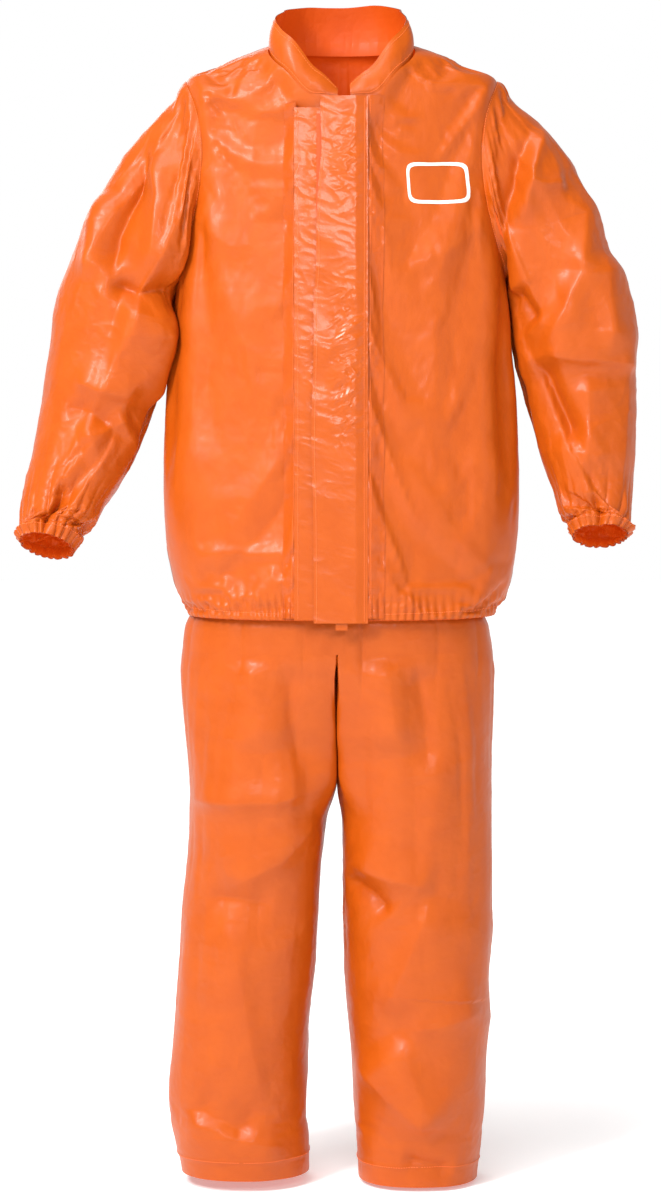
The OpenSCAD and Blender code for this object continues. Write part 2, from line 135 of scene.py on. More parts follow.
def crumple(p, size, seed=0, octaves=3):
    """Film that has been creased and smoothed out: flat facets that meet in sharp lines."""
    warp = np.stack([noise(p, size * 2.2, seed + 31 + k) for k in range(3)], -1)
    q = p + warp * size * 0.5
    out, share = 0, 1.0
    for k in range(octaves):
        out = out + share * (1 - 2 * np.abs(noise(q, size / 1.9**k, seed + k)))
        share *= 0.52
    return out - 0.3


# ---------------- sections, as the CAD panels have them

HEM_Z, HEM_Y, LEAN = -0.754, -0.132, math.radians(3.15)


def front_line(z):
    return HEM_Y + (z - HEM_Z) * math.tan(LEAN)


# height, half width, front, back, squareness
BODY = [(z, w, front_line(z) if f is None else f, b, q) for z, w, f, b, q in [
    (HEM_Z, .202, None, .122, 2.5), (-.700, .222, None, .130, 2.5), (-.600, .236, None, .134, 2.6),
    (-.480, .234, None, .130, 2.6), (-.379, .224, None, .126, 2.6), (-.273, .212, None, .122, 2.6),
    (-.190, .208, None, .114, 2.6), (-.115, .207, None, .104, 2.6), (-.056, .203, -.093, .092, 2.4),
    (-.034, .160, -.084, .084, 2.2), (-.018, .118, -.079, .077, 2.1), (-.007, .084, -.075, .071, 2.0)]]
NECK_ROW, NOTCH_ROW, ARM_ROW, ARM_ROWS, ARM_TURN = 11, 7.55, 6.3, 1.7, 20
ZIP_X = 0.016

# outer edge x and z, inner edge x and z, middle y, half depth, forward lean in degrees
SLEEVES = {
    "left": [
        (.232, -.050, .218, -.318, .000, .066, 0), (.311, -.150, .225, -.338, .003, .074, 0),
        (.363, -.274, .232, -.374, .008, .076, 2), (.397, -.385, .242, -.424, .008, .073, 6),
        (.401, -.500, .264, -.508, -.006, .064, 14), (.395, -.600, .289, -.592, -.034, .052, 24),
        (.374, -.648, .300, -.648, -.064, .037, 29)],
    "right": [
        (.222, -.052, .218, -.318, .000, .066, 0), (.312, -.168, .226, -.345, .003, .074, 0),
        (.386, -.312, .234, -.392, .008, .078, 2), (.400, -.400, .250, -.450, .008, .073, 6),
        (.416, -.510, .280, -.528, -.006, .064, 14), (.431, -.600, .320, -.600, -.034, .053, 24),
        (.421, -.655, .348, -.668, -.064, .038, 29)]}
CUFF_ROW = 6

# height, half width, front, back
SEAT = [(-.830, .207, -.117, .118), (-.790, .203, -.117, .114), (-.768, .199, -.1165, .112),
        (-.754, .192, -.1145, .109), (-.720, .176, -.110, .103), (-.690, .168, -.106, .100)]
SEAT_SHIFT, CROTCH_Z, WAIST_Z = -.005, -.800, -.690
# height, inner x, outer x, front, back
LEGS = {
    "left": [
        (-1.503, .023, .181, -.088, .080), (-1.404, .018, .191, -.092, .084),
        (-1.315, .012, .195, -.095, .088), (-1.217, .005, .198, -.098, .092),
        (-1.099, .001, .199, -.102, .097), (-.987, .000, .196, -.108, .104),
        (-.862, .000, .197, -.114, .113), (-.800, .000, .199, -.116, .116)],
    "right": [
        (-1.494, .043, .213, -.088, .080), (-1.404, .047, .229, -.092, .084),
        (-1.315, .045, .224, -.095, .088), (-1.217, .033, .215, -.098, .092),
        (-1.099, .029, .205, -.102, .097), (-.987, .017, .199, -.108, .104),
        (-.862, .010, .206, -.114, .113), (-.800, .010, .207, -.116, .116)]}


def jacket_point(u, v):
    r = row_at(BODY, v)
    x, y = oval(u, r[..., 1], r[..., 2], r[..., 3], r[..., 4])
    return np.stack([x, y, r[..., 0]], -1)


def neckline_row(u):
    return mix(NOTCH_ROW, NECK_ROW, smooth(np.minimum(u, 360 - u), 20, 85))


def side_edge(v):
    k = (v - ARM_ROW) / ARM_ROWS
    return 90 - ARM_TURN * np.sqrt(np.maximum(0, 1 - k * k))


def front_angle(v, x):
    r = row_at(BODY, v)
    return np.degrees(np.arctan2(x, (r[..., 3] - r[..., 2]) / 2))


def sign(side):
    return 1 if side == "left" else -1


def sleeve_point(side, turn, v):
    r = row_at(SLEEVES[side], v)
    a = np.radians(turn)
    zero = np.zeros_like(a + v)
    outer = np.stack([r[..., 0] + zero, zero, r[..., 1] + zero], -1)
    inner = np.stack([r[..., 2] + zero, zero, r[..., 3] + zero], -1)
    lean = np.radians(r[..., 6])
    forward = np.stack([zero, zero - np.cos(lean), zero + np.sin(lean)], -1)
    middle = (outer + inner) / 2
    middle[..., 1] += r[..., 4]
    ring = middle + np.cos(a)[..., None] * (outer - inner) / 2 + (np.sin(a) * r[..., 5])[..., None] * forward
    armhole = jacket_point(90 - ARM_TURN * np.sin(a), ARM_ROW + ARM_ROWS * np.cos(a))
    p = mix(armhole, ring, smooth(1.25 * v)[..., None])
    p[..., 0] *= sign(side)
    return p


def front_point(x, out, z):
    """A point of the frame that stands on the hem and leans back with the front edge."""
    x, out, z = np.broadcast_arrays(x, out, z)
    return np.stack([x, HEM_Y - out * math.cos(LEAN) + z * math.sin(LEAN),
                     HEM_Z + out * math.sin(LEAN) + z * math.cos(LEAN)], -1)


# ---------------- materials

def setting(n, **inputs):
    """Sets a node's inputs, or links them where the value is another node's output."""
    for name, value in inputs.items():
        socket = n.inputs[name.replace("_", " ")]
        if isinstance(value, bpy.types.NodeSocket):
            n.id_data.links.new(value, socket)
        else:
            socket.default_value = value
    return n


def node(tree, kind, **inputs):
    return setting(tree.nodes.new(kind), **inputs)


def ramp(tree, value, low, high, ends=(0.0, 1.0)):
    """A colour that runs from low to high as the value passes between the two ends."""
    n = node(tree, "ShaderNodeValToRGB", Fac=value)
    for element, colour, position in zip(n.color_ramp.elements, (low, high), ends):
        element.color, element.position = (*colour, 1), position
    return n.outputs["Color"]


def material(name, **inputs):
    m = bpy.data.materials.new(name)
    m.use_nodes = True
    return m, m.node_tree, setting(m.node_tree.nodes["Principled BSDF"], **inputs)


def laminate(name, colour, shade, rough, coat, crinkle):
    """Coated film over a bonded web: mottled, glossy, finely crinkled."""
    m, t, s = material(name, Coat_Weight=coat, Coat_Roughness=0.16, IOR=1.35)
    where = node(t, "ShaderNodeUVMap").outputs["UV"]
    mottle = node(t, "ShaderNodeTexNoise", Vector=where, Scale=26.0, Detail=5.0, Roughness=0.6)
    gloss = node(t, "ShaderNodeMapRange", Value=mottle.outputs["Fac"],
                 To_Min=rough * 0.8, To_Max=rough * 1.25)
    fine = node(t, "ShaderNodeTexNoise", Vector=where, Scale=150.0, Detail=6.0, Roughness=0.62)
    cells = node(t, "ShaderNodeTexVoronoi", Vector=where, Scale=70.0)
    cells.feature = "DISTANCE_TO_EDGE"
    web = node(t, "ShaderNodeTexNoise", Vector=where, Scale=900.0, Detail=2.0)
    b1 = node(t, "ShaderNodeBump", Height=cells.outputs["Distance"], Strength=crinkle * 0.35, Distance=0.001)
    b2 = node(t, "ShaderNodeBump", Height=fine.outputs["Fac"], Strength=crinkle, Distance=0.0015,
              Normal=b1.outputs["Normal"])
    b3 = node(t, "ShaderNodeBump", Height=web.outputs["Fac"], Strength=0.12, Distance=0.0004,
              Normal=b2.outputs["Normal"])
    setting(s, Base_Color=ramp(t, mottle.outputs["Fac"], shade, colour, (0.3, 0.72)),
            Roughness=gloss.outputs["Result"], Normal=b3.outputs["Normal"])
    return m


def cloth_like(name, colour, shade, rough, scale, bump):
    """A woven or moulded small part, with its own grain."""
    m, t, s = material(name, Roughness=rough)
    where = node(t, "ShaderNodeTexCoord").outputs["Object"]
    grain = node(t, "ShaderNodeTexNoise", Vector=where, Scale=scale, Detail=3.0)
    b = node(t, "ShaderNodeBump", Height=grain.outputs["Fac"], Strength=bump, Distance=0.0005)
    setting(s, Base_Color=ramp(t, grain.outputs["Fac"], shade, colour), Normal=b.outputs["Normal"])
    return m


ORANGE, ORANGE_SHADE = (0.505, 0.084, 0.002), (0.455, 0.071, 0.0016)
film = laminate("film", ORANGE, ORANGE_SHADE, 0.44, 0.07, 0.08)
flap_film = laminate("flap_film", ORANGE, ORANGE_SHADE, 0.34, 0.30, 0.12)
tape_film = laminate("tape_film", (0.50, 0.080, 0.002), (0.45, 0.068, 0.0016), 0.36, 0.20, 0.08)
lining = laminate("lining", (0.52, 0.072, 0.002), (0.46, 0.060, 0.0016), 0.55, 0.02, 0.06)
# painted light: the lining glows orange, standing in for the light that comes through the fabric to its
# inside
setting(lining.node_tree.nodes["Principled BSDF"],
        Emission_Color=(1.0, 0.10, 0.004, 1), Emission_Strength=0.22)
thread = cloth_like("thread", (0.95, 0.22, 0.04), (0.75, 0.12, 0.02), 0.6, 2500, 0.3)
webbing = cloth_like("webbing", (0.72, 0.09, 0.012), (0.58, 0.06, 0.008), 0.75, 1400, 0.5)
zip_plastic = cloth_like("zip_plastic", (0.80, 0.11, 0.015), (0.72, 0.09, 0.012), 0.32, 300, 0.1)
elastic_knit = cloth_like("elastic_knit", (0.82, 0.80, 0.75), (0.62, 0.60, 0.55), 0.85, 1100, 0.6)
ink = cloth_like("ink", (0.95, 0.86, 0.76), (0.90, 0.80, 0.70), 0.42, 500, 0.1)


# ---------------- surfaces

FABRIC = 0.0006


class Surface:
    """A grid of points on a surface, folded by relief(p, n, a, b), whose a and b are the
    surface's own coordinates. It reaches one step past each edge while its normals are
    worked out, so that the pieces on both sides of a seam shade alike."""

    def __init__(self, at, coords, nu, nv, relief=None):
        s = (np.arange(-1, nu + 2) / nu)[:, None] + np.zeros(nv + 3)
        t = np.zeros(nu + 3)[:, None] + np.arange(-1, nv + 2) / nv
        a, b = coords(s, t)
        p = at(a, b)
        n = normals_of(p)
        for edge, near, far in ((0, 1, 2), (-1, -2, -3)):
            if np.abs(p[:, edge] - p[:, near]).max() < 1e-6:
                p[:, edge] = 2 * p[:, near] - p[:, far]
        n[:, 0], n[:, -1] = n[:, 1], n[:, -2]
        self.smooth_normals = n[1:-1, 1:-1]
        q = p if relief is None else p + relief(p, n, a, b)
        self.normals = normals_of(q)[1:-1, 1:-1]
        self.points = q[1:-1, 1:-1]
        self.flat = p[1:-1, 1:-1]
        self.uv = lengths_uv(self.flat)
        self.a, self.b = a[1:-1, 1:-1], b[1:-1, 1:-1]

    def moved(self, out):
        """The same surface, out by that much from the shape before it was folded."""
        other = object.__new__(Surface)
        other.__dict__.update(self.__dict__)
        other.points = self.points + self.smooth_normals * out
        return other


def patch(a0, a1, b0, b1):
    """Coordinates that run evenly from a0 to a1 round a surface and from b0 to b1 up it."""
    return lambda s, t: (mix(a0, a1, s), mix(b0, b1, t))


def lengths_uv(p):
    """Each point's distance round and up its grid, in metres."""
    round_, up = np.zeros(p.shape[:2]), np.zeros(p.shape[:2])
    round_[1:] = np.cumsum(np.linalg.norm(np.diff(p, axis=0), axis=-1), 0)
    up[:, 1:] = np.cumsum(np.linalg.norm(np.diff(p, axis=1), axis=-1), 1)
    return np.stack([round_, up], -1)


def mesh_object(name, verts, faces, materials, slots=None, uv=None, normals=None):
    mesh = bpy.data.meshes.new(name)
    mesh.from_pydata(verts, [], faces)
    if uv is not None:
        mesh.uv_layers.new(name="metres").data.foreach_set("uv", np.asarray(uv, np.float32).ravel())
    for m in materials:
        mesh.materials.append(m)
    if slots is not None:
        mesh.polygons.foreach_set("material_index", slots)
    mesh.polygons.foreach_set("use_smooth", np.ones(len(faces), bool))
    mesh.update()
    if normals is not None:
        mesh.normals_split_custom_set_from_vertices(normals)
    o = bpy.data.objects.new(name, mesh)
    bpy.context.scene.collection.objects.link(o)
    return o


def grid_index(nu, nv, ring):
    """The vertex numbers of a grid, and how many columns it has. A ring's last column lies
    on its first."""
    columns = nu - 1 if ring else nu
    return (np.arange(nu) % columns)[:, None] * nv + np.arange(nv)[None, :], columns


def cells(x):
    """The four corners of each cell of a grid."""
    return np.stack([x[:-1, :-1], x[1:, :-1], x[1:, 1:], x[:-1, 1:]], 2).reshape(-1, 4, *x.shape[2:])


def fabric(name, surface, outside, inside=None, ring=False, thick=FABRIC):
    """A sheet of fabric with its real thickness."""
    p, n, uv = surface.points, surface.normals, surface.uv
    index, columns = grid_index(*p.shape[:2], ring)
    layer = columns * p.shape[1]

    def rim(line, flip):
        a, b = line[:-1], line[1:]
        return np.stack([a, a + layer, b + layer, b] if flip else [b, b + layer, a + layer, a], 1)

    skin = cells(index)
    rims = [rim(index[:, 0], True), rim(index[:, -1], False)]
    if not ring:
        rims += [rim(index[0], False), rim(index[-1], True)]
    rims = np.concatenate(rims)
    faces = np.concatenate([skin, skin[:, ::-1] + layer, rims])
    flat_uv = cells(uv)
    corner_uv = np.concatenate([flat_uv.reshape(-1, 2), flat_uv[:, ::-1].reshape(-1, 2),
                                np.zeros((4 * len(rims), 2))])
    slots = np.zeros(len(faces), np.int32)
    slots[len(skin):2 * len(skin)] = 1
    points = np.concatenate([p[:columns].reshape(-1, 3), (p - n * thick)[:columns].reshape(-1, 3)])
    normals = np.concatenate([n[:columns].reshape(-1, 3), -n[:columns].reshape(-1, 3)])
    return mesh_object(name, points.tolist(), faces.tolist(), [outside, inside or outside],
                       slots, corner_uv, normals.tolist())


def place(o, slot, body, *nodes):
    """Gives a piece its body, and hides the CAD nodes it stands for. Its slot is not used."""
    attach(o, body)
    if nodes:
        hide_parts(*nodes)


def sew(name, surface, materials, held, slot, body, nodes, cut=None, rests_on=(), **how):
    """A sheet of fabric with its body, and its CAD nodes hidden. Held, slot, cut and rests_on are not used.
    """
    o = fabric(name, surface, *materials, **how)
    place(o, slot, body, *nodes)


STITCH_SPACING, STITCH_LENGTH, STITCH_RADIUS = 0.0034, 0.0024, 0.00042


def stitches(name, surface, line, body):
    """A row of lockstitches on a surface, along one of its lines of points."""
    path, out = surface.moved(0.0002).points[line], surface.normals[line]
    far = np.concatenate([[0], np.cumsum(np.linalg.norm(np.diff(path, axis=0), axis=-1))])
    at = np.arange(STITCH_SPACING, far[-1] - STITCH_SPACING, STITCH_SPACING)

    def sample(values, x):
        return np.stack([np.interp(x, far, values[:, k]) for k in range(3)], -1)

    centre, up = sample(path, at), sample(out, at)
    up /= np.linalg.norm(up, axis=-1, keepdims=True)
    along = sample(path, at + 0.001) - sample(path, at - 0.001)
    along /= np.linalg.norm(along, axis=-1, keepdims=True)
    across = np.cross(along, up)
    turn = np.arange(6) * math.pi / 3
    rings = []
    for part, size in ((-0.5, 0.35), (-0.3, 1.0), (0.3, 1.0), (0.5, 0.35)):
        middle = centre + along * part * STITCH_LENGTH
        rings.append(middle[:, None] + STITCH_RADIUS * size * (
            np.cos(turn)[None, :, None] * across[:, None]
            + (np.sin(turn) * 0.8 + 0.2)[None, :, None] * up[:, None]))
    verts = np.stack(rings, 1).reshape(-1, 3)
    one = [[r * 6 + k, r * 6 + (k + 1) % 6, r * 6 + 6 + (k + 1) % 6, r * 6 + 6 + k]
           for r in range(3) for k in range(6)]
    faces = (np.array(one)[None] + 24 * np.arange(len(at))[:, None, None]).reshape(-1, 4)
    o = mesh_object(name, verts.tolist(), faces.tolist(), [thread])
    place(o, "shell", body)


# ---------------- folds

def path_distance(x, z, path):
    """Distance to a path in the (x, z) plane, +1 where it lies to the path's left, and how
    far along the path its nearest point is, from 0 to 1."""
    path = np.asarray(path, float)
    lengths = np.linalg.norm(np.diff(path, axis=0), axis=-1)
    best, side, along, done = np.full(x.shape, 1e9), np.zeros(x.shape), np.zeros(x.shape), 0.0
    for a, b, l in zip(path[:-1], path[1:], lengths):
        d = (b - a) / l
        rx, rz = x - a[0], z - a[1]
        t = np.clip(rx * d[0] + rz * d[1], 0, l)
        distance = np.hypot(rx - t * d[0], rz - t * d[1])
        near = distance < best
        best = np.where(near, distance, best)
        side = np.where(near, np.sign(d[0] * rz - d[1] * rx), side)
        along = np.where(near, (done + t) / lengths.sum(), along)
        done += l
    return best, side, along


def folds(p, n, listed, facing=-1):
    """How far the listed folds lift a surface. Each is a crest along a path, which falls off
    over one width to its left and another to its right, and fades at both ends."""
    lift = np.zeros(p.shape[:-1])
    shown = smooth(facing * n[..., 1], 0.0, 0.45)
    for height, left, right, path in listed:
        distance, side, along = path_distance(p[..., 0], p[..., 2], path)
        x = distance / np.where(side > 0, left, right)
        profile = np.exp(-np.sqrt(x * x + 0.16) + 0.4)
        lift += height * profile * smooth(along, 0, 0.25) * smooth(1 - along, 0, 0.25)
    return lift * shown


def cubic(field, a, b):
    """A coarse field's value at the fractions a, round its ring, and b, up it."""
    nu, nv = field.shape[0] - 1, field.shape[1] - 1
    x, y = np.asarray(a) * nu, np.clip(np.asarray(b), 0, 1) * nv
    i, j = np.floor(x).astype(int), np.minimum(np.floor(y).astype(int), nv - 1)

    def weights(k):
        return [0.5 * (-k + 2 * k**2 - k**3), 0.5 * (2 - 5 * k**2 + 3 * k**3),
                0.5 * (k + 4 * k**2 - 3 * k**3), 0.5 * (k**3 - k**2)]

    wu, wv, out = weights(x - i), weights(y - j), 0
    for c in range(4):
        for r in range(4):
            cell = field[(i + c - 1) % nu, np.clip(j + r - 1, 0, nv)]
            out = out + (wu[c] * wv[r])[..., None] * cell
    return out


SLACK_FRAMES, SLACK_MOST = 18, 0.016    # how long the fabric settles, and how far it may move


def slack(name, surface, hold, grow, stiff):
    """How slack fabric moves off a ring of surface: cut larger by the share grow, and held
    to it by the weights in hold, it buckles into folds of its own. Gives a field of moves."""
    p = surface.points
    index, columns = grid_index(*p.shape[:2], True)
    o = mesh_object(name, p[:columns].reshape(-1, 3).tolist(), cells(index).tolist(), [])
    group = o.vertex_groups.new(name="hold")
    for k, w in enumerate(hold[:columns].ravel()):
        group.add([k], float(w), "REPLACE")
    cloth = o.modifiers.new("slack", "CLOTH")
    c = cloth.settings
    c.quality, c.mass, c.air_damping = 6, 0.12, 4.0
    c.tension_stiffness = c.compression_stiffness = 18
    c.shear_stiffness, c.bending_stiffness = 6, stiff
    c.tension_damping = c.compression_damping = 12
    c.vertex_group_mass, c.pin_stiffness = "hold", 1.0
    c.shrink_min = c.shrink_max = -grow
    cloth.collision_settings.use_self_collision = False
    cloth.point_cache.frame_end = SLACK_FRAMES
    for f in range(1, SLACK_FRAMES + 1):
        bpy.context.scene.frame_set(f)
    shape = o.evaluated_get(bpy.context.evaluated_depsgraph_get()).to_mesh()
    moved = np.array([v.co for v in shape.vertices]).reshape(columns, -1, 3)
    bpy.context.scene.frame_set(1)
    bpy.data.objects.remove(o)
    move = np.concatenate([moved, moved[:1]]) - p
    length = np.linalg.norm(move, axis=-1, keepdims=True)
    return move * np.where(length > SLACK_MOST, SLACK_MOST / np.maximum(length, 1e-9), 1)


# ---------------- jacket body

# height of the fold, its two widths, and its path in x and z
FRONT_FOLDS = [
    (.0060, .010, .022, [(-.154, -.060), (-.186, -.100), (-.205, -.142)]),
    (-.0060, .010, .012, [(-.190, -.105), (-.187, -.150), (-.182, -.185)]),
    (.0045, .006, .010, [(-.200, -.170), (-.188, -.168), (-.176, -.182)]),
    (.0050, .014, .030, [(-.196, -.705), (-.140, -.630), (-.072, -.530)]),
    (-.0035, .012, .020, [(-.180, -.720), (-.115, -.650), (-.052, -.575)]),
    (.0050, .030, .014, [(.196, -.705), (.140, -.630), (.076, -.530)]),
    (-.0035, .020, .012, [(.178, -.720), (.112, -.650), (.056, -.575)]),
    (.0055, .012, .020, [(.190, -.050), (.200, -.110), (.224, -.140)]),
    (-.0050, .010, .012, [(.176, -.095), (.186, -.150), (.184, -.205)]),
    (.0040, .012, .024, [(.196, -.225), (.150, -.270), (.095, -.300)]),
    (.0045, .020, .012, [(-.198, -.215), (-.160, -.262), (-.120, -.285)]),
    (-.0045, .018, .022, [(-.212, -.360), (-.206, -.450), (-.210, -.545)]),
    (-.0040, .018, .022, [(.212, -.380), (.206, -.460), (.208, -.560)]),
    (.0030, .014, .018, [(-.110, -.300), (-.124, -.400), (-.118, -.500)]),
    (.0026, .016, .014, [(.118, -.330), (.126, -.430), (.116, -.520)])]
BACK_FOLDS = [
    (.0060, .014, .024, [(-.185, -.110), (-.120, -.200), (-.060, -.250)]),
    (.0060, .024, .014, [(.185, -.110), (.120, -.200), (.060, -.250)]),
    (.0050, .020, .014, [(-.150, -.060), (-.050, -.095), (.060, -.090), (.150, -.060)]),
    (-.0050, .016, .020, [(-.060, -.330), (-.080, -.440), (-.050, -.560)]),
    (.0050, .014, .020, [(.060, -.300), (.085, -.420), (.050, -.540)]),
    (.0050, .014, .026, [(-.190, -.700), (-.110, -.600), (-.030, -.540)]),
    (.0050, .026, .014, [(.190, -.700), (.120, -.610), (.040, -.560)]),
    (.0045, .014, .018, [(-.200, -.330), (-.120, -.370), (-.040, -.365)])]


def pleats(p, turn, count, seed):
    """Uneven gathers round an edge, from -1 to 0: sharp tucks between rounded ridges."""
    drift = 1.7 * noise(np.stack([np.cos(np.radians(turn)) * 3, np.sin(np.radians(turn)) * 3,
                                  p[..., 2] * 9], -1), 1.0, seed)
    wave = np.abs(np.sin(np.radians(turn) * count / 2 + drift))
    uneven = 0.65 + 0.35 * noise(p, (.03, .03, .2), seed + 5)
    return -(1 - wave**0.7) * uneven


FINE = .0002    # height of the finest crinkles


def creased(p, seed, deep, fine=0.0):
    """The creases that packed film keeps: large flat facets, smaller ones on them, and a fine crinkle."""
    return (deep * crumple(p * (1, 1, 0.72), 0.090, seed, 1) + deep * 0.16 * crumple(p, 0.036, seed + 7, 2)
            + fine * crumple(p, 0.011, seed + 13, 2))


def from_front(u):
    """Degrees round to the front's middle."""
    return np.minimum(u % 360, 360 - u % 360)


def from_armhole(u, v):
    """How far out a place is from the nearer armhole's middle: 1 at the armhole's edge."""
    side = np.minimum(np.abs(u % 360 - 90), np.abs(u % 360 - 270))
    return np.hypot(side / ARM_TURN, (v - ARM_ROW) / ARM_ROWS)


def torso_hold(u, v):
    """Where the torso is held: fully at the hem, neck and armholes, at the front edges by the
    zip, and elsewhere just enough to keep the wearer's shape."""
    held = np.maximum.reduce([
        smooth(1 - v / 0.35), smooth((v - 8.6) / 1.6), smooth(1.25 - from_armhole(u, v), 0, 0.25),
        smooth(1 - (from_front(u) - 9) / 8)])
    return np.maximum(0.060, held)


def torso_relief(p, n, u, v):
    """The torso's folds, its creases where it hangs free, and the gathers over its hem elastic."""
    arm, below_neck = from_armhole(u, v), neckline_row(u % 360) - v
    free = smooth(from_front(u), 8, 16) * smooth(arm, 0.95, 1.5) * smooth(below_neck, 0, 1.4)
    free = free * smooth(v, 0, 0.5)
    lift = folds(p, n, FRONT_FOLDS) + folds(p, n, BACK_FOLDS, 1)
    lift = lift * smooth(arm, 0.9, 1.25) + free * creased(p, 3, .0014)
    lift += 0.00018 * crumple(p, 0.012, 71, 2) * smooth(arm, 0.9, 1.1)
    hem = smooth(1 - (p[..., 2] - HEM_Z - .014) / .030)
    beside_flaps = smooth(from_front(u), 10, 20)
    lift += 0.0042 * hem * beside_flaps * pleats(p, u, 104, 11)
    lift += 0.0016 * np.exp(-((p[..., 2] - HEM_Z - .024) / .008) ** 2) * beside_flaps
    settled = smooth(below_neck, 0, 0.8) * smooth(arm, 1.0, 1.3)
    return n * lift[..., None] + 0.7 * settled[..., None] * cubic(torso_slack, (u % 360) / 360, v / NECK_ROW)


def barely_creased(p, n, a, b):
    """The shape that slack fabric starts from: it leaves the listed folds to be added crisp."""
    return n * creased(p, 900, .0030)[..., None]


start = Surface(jacket_point, patch(0, 360, 0, NECK_ROW), 150, 80, relief=barely_creased)
torso_slack = slack("torso_slack", start, torso_hold(start.a, start.b), 0.009, 0.4)


def on_torso(coords, nu, nv):
    return Surface(jacket_point, coords, nu, nv, relief=torso_relief)


HEM_STITCH = 10    # the row of points along which the hem is stitched


def front_coords(side):
    def coords(s, t):
        u = mix(8, 90, s)
        v = t * neckline_row(u)
        around = mix(front_angle(v, ZIP_X), 90, s) - (90 - side_edge(v)) * s**5
        return (around, v) if side == "left" else (360 - around, v)
    return coords


def flipped(coords):
    """The same coordinates run the other way round, so that a mirrored panel still faces out."""
    return lambda s, t: coords(1 - s, t)


def back_coords(s, t):
    v = t * NECK_ROW
    k = 2 * s - 1
    return 180 + 90 * k - (90 - side_edge(v)) * np.sign(k) * np.abs(k) ** 9, v


for side in ("left", "right"):
    coords = front_coords(side) if side == "left" else flipped(front_coords(side))
    panel = on_torso(coords, 120, 340)
    sew(f"front_{side}", panel, (film, lining), "hung", "shell", "jacket", [f"front_panel_{side}"],
        rests_on=["collar_shell"])
    stitches(f"hem_stitch_{side}", panel, np.s_[:, HEM_STITCH], "jacket")

back = on_torso(back_coords, 210, 330)
sew("back", back, (film, lining), "hung", "shell", "jacket", ["back_panel"], rests_on=["collar_shell"])
stitches("hem_stitch_back", back, np.s_[:, HEM_STITCH], "jacket")


def hem_coords(s, t):
    """Where the hem turns up over its elastic."""
    v = t * 0.26
    a = front_angle(v, ZIP_X + .008)
    return mix(a, 360 - a, s), v


hem = on_torso(hem_coords, 420, 5)
turned = hem.moved(-0.0046)
turned.points[:, 0] = hem.points[:, 0] - hem.normals[:, 0] * 0.0024 - np.array([0, 0, .0012])
sew("hem_facing", turned, (lining, lining), "gathered", "shell", "jacket", ["jacket_hem_facing"], cut=hem)
elastic = on_torso(lambda s, t: hem_coords(s, mix(.12, 1.3, t)), 420, 5)
sew("hem_elastic", elastic.moved(-0.0016), (elastic_knit,), "gathered", "elastic", "jacket",
    ["jacket_hem_elastic"], cut=elastic, thick=0.0014)

def seam_tape(name, side, width, low, high, grid):
    """Tape over a seam beside the arm: its width at its lower and upper end in degrees."""
    middle = 90 if side == "left" else 270
    tape = on_torso(lambda s, t: (middle + (s - 0.5) * mix(*width, t), mix(low, high, t)), *grid)
    tape = tape.moved(0.0004)
    sew(f"{name}_tape_{side}", tape, (tape_film,), "laid", "seam_tape", "jacket",
        [f"{name}_seam_tape_{side}"], rests_on=[f"front_{side}", "back"], thick=0.00025)


for side in ("left", "right"):
    seam_tape("side", side, (5.8, 5.8), 0.3, 4.5, (12, 220))
    seam_tape("shoulder", side, (7, 16), 8.25, 10.9, (16, 110))


# ---------------- collar

COLLAR_H, TUCK = .056, .009


def collar_at(u, t):
    side = np.minimum(u, 360 - u)
    base = jacket_point(u, neckline_row(u))
    full = mix(0.72, 1, smooth((side - 70) / 80)) * COLLAR_H
    rise = mix(.004, full, np.sin(np.radians(np.minimum(90, 2.6 * side))))
    p = base.copy()
    p[..., :2] *= (1 - 0.09 * t - 0.004 * smooth(1 - t * 9))[..., None]
    p[..., 2] += t * rise - TUCK * smooth(1 - t * 9)
    return p


def collar_relief(p, n, u, t):
    side = np.minimum(u, 360 - u)
    lift = 0.0036 * noise(p, (.06, .06, .05), 23) + creased(p, 41, .0009, .00015)
    lift += 0.0035 * np.sin(np.pi * np.clip(t, 0, 1)) - .0014 * pleats(p, u, 30, 17) * smooth(1 - t * 2)
    rolled = n * (lift * smooth(t, 0, 0.15) * smooth(side, 4, 22))[..., None]
    rolled[..., 2] += 0.0022 * noise(p, (.05, .05, .5), 29) * smooth(t, 0.2, 1)
    return rolled


collar = Surface(collar_at, patch(6.6, 356.8, 0, 1), 420, 44, relief=collar_relief)
sew("collar_shell", collar, (film, lining), "stretched", "shell", "jacket", ["collar"],
    rests_on=["front_left", "front_right", "back"], thick=0.0011)
stitches("collar_top_stitch", collar, np.s_[:, 38], "jacket")
stitches("collar_seam_stitch", collar, np.s_[:, 4], "jacket")


# ---------------- front closure

SEAM_X, FLAP_W, ZIP_LEN = .0335, .068, .664


def bump(x, middle, reach):
    return smooth(1 - np.abs(x - middle) / reach)


def crinkled_flap(seed, height, free_side, low, high):
    """A flap that waves gently, most at its free edge, with short slanting crinkles in the
    places where it has been handled."""
    def relief(p, n, x, z):
        across = (x - low) / (high - low)
        free = mix(0.35, 1.0, smooth(1 - across if free_side < 0 else across))
        q = np.stack([x * 0.55, np.zeros_like(x), z + 0.22 * x], -1)
        lift = height * free * crumple(q, 0.080, seed, 2)
        handled = np.maximum(bump(z, .330, .150), 0.6 * bump(z, .590, .100)) * bump(across, .62, .50)
        slanting = np.stack([(x + 0.5 * z) * 0.6, np.zeros_like(x), z - 0.5 * x], -1)
        lift += .0020 * handled * crumple(slanting, 0.020, seed + 3, 3)
        lift += FINE * crumple(q, 0.012, seed + 9, 2) - .0036 * smooth(x, .016, SEAM_X)
        move = n * lift[..., None]
        move[..., 0] += free_side * 0.0016 * noise(q, (1, 1, .05), seed + 5) * smooth(free, 0.8, 1)
        return move
    return relief


